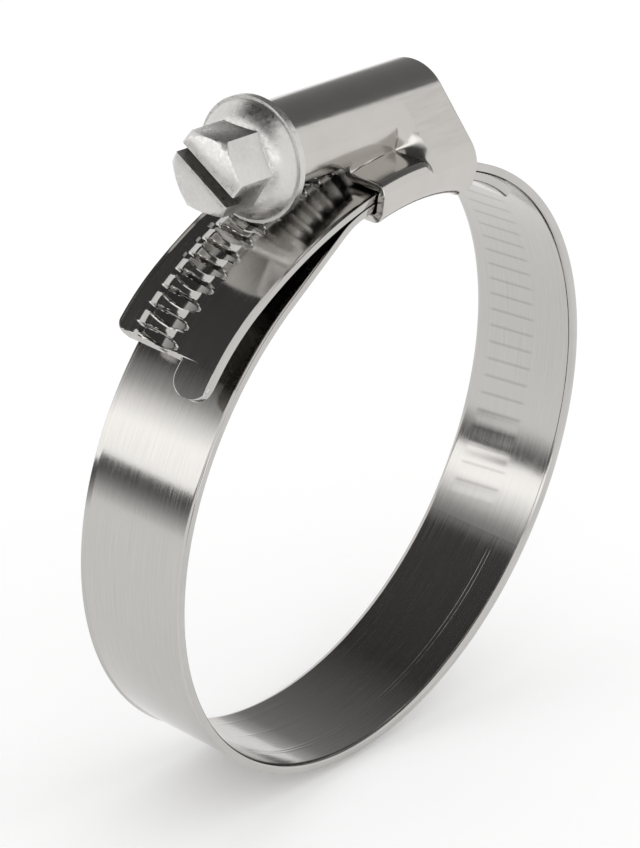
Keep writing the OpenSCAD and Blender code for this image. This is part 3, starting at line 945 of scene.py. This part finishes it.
def empty_material(name):
    """New material and its node tree, without nodes."""
    material = bpy.data.materials.new(name)
    material.use_nodes = True
    material.node_tree.nodes.clear()
    return material, material.node_tree


def glow_material(name, stops):
    """Wall that glows from one value to the next along its own U: stops are (U, glow)."""
    material, tree = empty_material(name)
    uv = add_node(tree, "ShaderNodeUVMap", uv_map="UVMap")
    parts = add_node(tree, "ShaderNodeSeparateXYZ", {0: uv.outputs[0]})
    ramp = add_node(tree, "ShaderNodeValToRGB", {0: parts.outputs[0]})
    marks = ramp.color_ramp.elements
    while len(marks) < len(stops):
        marks.new(0.5)
    for mark, (place, glow) in zip(marks, stops):
        mark.position = place
        mark.color = (glow / GLOW_TOP, glow / GLOW_TOP, glow / GLOW_TOP, 1)
    light = add_node(tree, "ShaderNodeEmission", {"Color": ramp.outputs[0], "Strength": GLOW_TOP})
    add_node(tree, "ShaderNodeOutputMaterial", {"Surface": light.outputs[0]})
    return material


def show_in_metal(obj):
    """Puts an object on the stage that only shows as a reflection."""
    obj.visible_camera = False
    obj.visible_diffuse = False
    obj.visible_shadow = False


def studio_wall(name, angles, ys, stops):
    """Part of a drum round the Y axis, seen in the metal only.

    It runs from one angle to another, from +X towards +Z, and from one Y to another.
    stops are (angle, glow).
    """
    a0, a1 = angles
    count = 60
    a, y = np.meshgrid(np.linspace(a0, a1, count), np.array(ys), indexing="ij")
    around = direction(a) * DRUM_R
    points = np.stack([around[..., 0], y, around[..., 1]], -1).reshape(-1, 3)
    uv = np.stack([(a - a0) / (a1 - a0), (y - ys[0]) / (ys[1] - ys[0])], -1).reshape(-1, 2)
    material = glow_material(name, [((t - a0) / (a1 - a0), glow) for t, glow in stops])
    show_in_metal(add_mesh(name, points, grid_faces(count, 2), material, uv=uv))


def make_floor():
    """Pale floor, a little brighter to the camera and in reflections than its light alone."""
    material, tree = empty_material("pale_floor")
    path = add_node(tree, "ShaderNodeLightPath")
    seen = add_node(tree, "ShaderNodeMath", {0: path.outputs["Is Camera Ray"],
                                             1: path.outputs["Is Glossy Ray"]},
                    operation="MAXIMUM")
    glow = add_node(tree, "ShaderNodeMath", {0: seen.outputs[0], 1: FLOOR_GLOW},
                    operation="MULTIPLY")
    light = add_node(tree, "ShaderNodeEmission",
                     {"Color": (1, 1, 1, 1), "Strength": glow.outputs[0]})
    dull = add_node(tree, "ShaderNodeBsdfDiffuse",
                    {"Color": (FLOOR_TONE, FLOOR_TONE, FLOOR_TONE, 1)})
    both = add_node(tree, "ShaderNodeAddShader", {0: light.outputs[0], 1: dull.outputs[0]})
    add_node(tree, "ShaderNodeOutputMaterial", {"Surface": both.outputs[0]})
    corners = [(x * FLOOR_HALF, y * FLOOR_HALF, FLOOR_Z)
               for x, y in ((-1, -1), (1, -1), (1, 1), (-1, 1))]
    add_mesh("floor", corners, [(0, 1, 2, 3)], material, smooth=False)


def make_world():
    """Even white surroundings."""
    world = bpy.data.worlds.new("studio")
    world.use_nodes = True
    shade = world.node_tree.nodes["Background"]
    shade.inputs["Color"].default_value = (1, 1, 1, 1)
    shade.inputs["Strength"].default_value = 1.0
    bpy.context.scene.world = world


def make_walls():
    """Dark canopy overhead, bright window on the left, and a low board before it."""
    studio_wall("canopy", angles=(2, 152), ys=(-150, 460),
                stops=[(2, 0.6), (16, 0.25), (38, 0.18), (62, 0.11), (80, 0.05), (142, 0.07),
                       (152, 0.5)])
    studio_wall("window", angles=(152, 183), ys=(-300, 900),
                stops=[(152, 0.5), (159, 1.2), (166, 1.75), (183, 1.6)])
    x, (y0, y1), (z0, z1) = -110, (-60, 300), (-23, 5)
    corners = [(x, y0, z0), (x, y1, z0), (x, y1, z1), (x, y0, z1)]
    glow = glow_material("board", [(0, 0.9), (0.45, 0.3), (0.7, 0.1), (0.92, 0.16), (1, 0.4)])
    show_in_metal(add_mesh("board", corners, [(0, 1, 2, 3)], glow, smooth=False,
                           uv=[(0, 0), (0, 1), (1, 1), (1, 0)]))


def place_camera():
    """Camera solved from the loop's two rims.

    lies_at is the loop's centre seen from the camera, in loop radii of UNIT mm. In the
    camera's view hose is the loop's axis, level and rise are axes across it, and TURN
    is where the housing sits between those two.
    """
    lies_at = Vector((0.0645, 0.1157, 10.6355)) * UNIT
    hose = Vector((0.77246784, 0.34447576, -0.53350716))
    level = Vector((-0.56828918, 0, -0.82282891))
    rise = Vector((-0.28344462, 0.93879521, 0.19576185))
    turn = math.radians(TURN)
    z_axis = math.cos(turn) * level + math.sin(turn) * rise
    y_axis = -hose
    x_axis = y_axis.cross(z_axis)
    axes = (x_axis, y_axis, z_axis)
    right = Vector([a.x for a in axes])
    up = Vector([-a.y for a in axes])
    back = Vector([-a.z for a in axes])
    place = Matrix((right, up, back)).transposed().to_4x4()
    place.translation = Vector([-lies_at.dot(a) * MM for a in axes])
    camera = bpy.data.cameras.new("camera")
    camera.lens = FOCAL_PX * camera.sensor_width / IMAGE_H
    camera.clip_start = 0.01
    camera.clip_end = 20
    obj = add_object("camera", camera)
    obj.matrix_world = place
    bpy.context.scene.camera = obj


# ---------- scene ----------

def main():
    streaks, grain = streak_group(), grain_group()
    strip = strip_steel(streaks)
    sheet = housing_steel(streaks, grain)
    plating = screw_steel(grain)

    fixed_end = make_fixed_end(strip)
    loop = make_loop(strip)
    toothed = make_toothed(strip)
    tongue = make_tongue(strip)
    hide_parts("band")
    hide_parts("band_tail")
    for piece in (fixed_end, loop, toothed, tongue):
        piece.data.set_sharp_from_angle(angle=math.radians(SHEET_SHARP))
    sleeve, tube = make_housing(sheet)
    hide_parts("housing")
    for piece in (sleeve, tube):
        piece.data.set_sharp_from_angle(angle=math.radians(SHEET_SHARP))
    screw = finished_copy("screw", "drive_screw", plating, "worm_screw", SCREW_BEVEL)
    mark_slot_shade(screw)

    make_floor()
    make_world()
    make_walls()
    place_camera()
    bpy.context.scene.view_settings.view_transform = "Standard"


main()
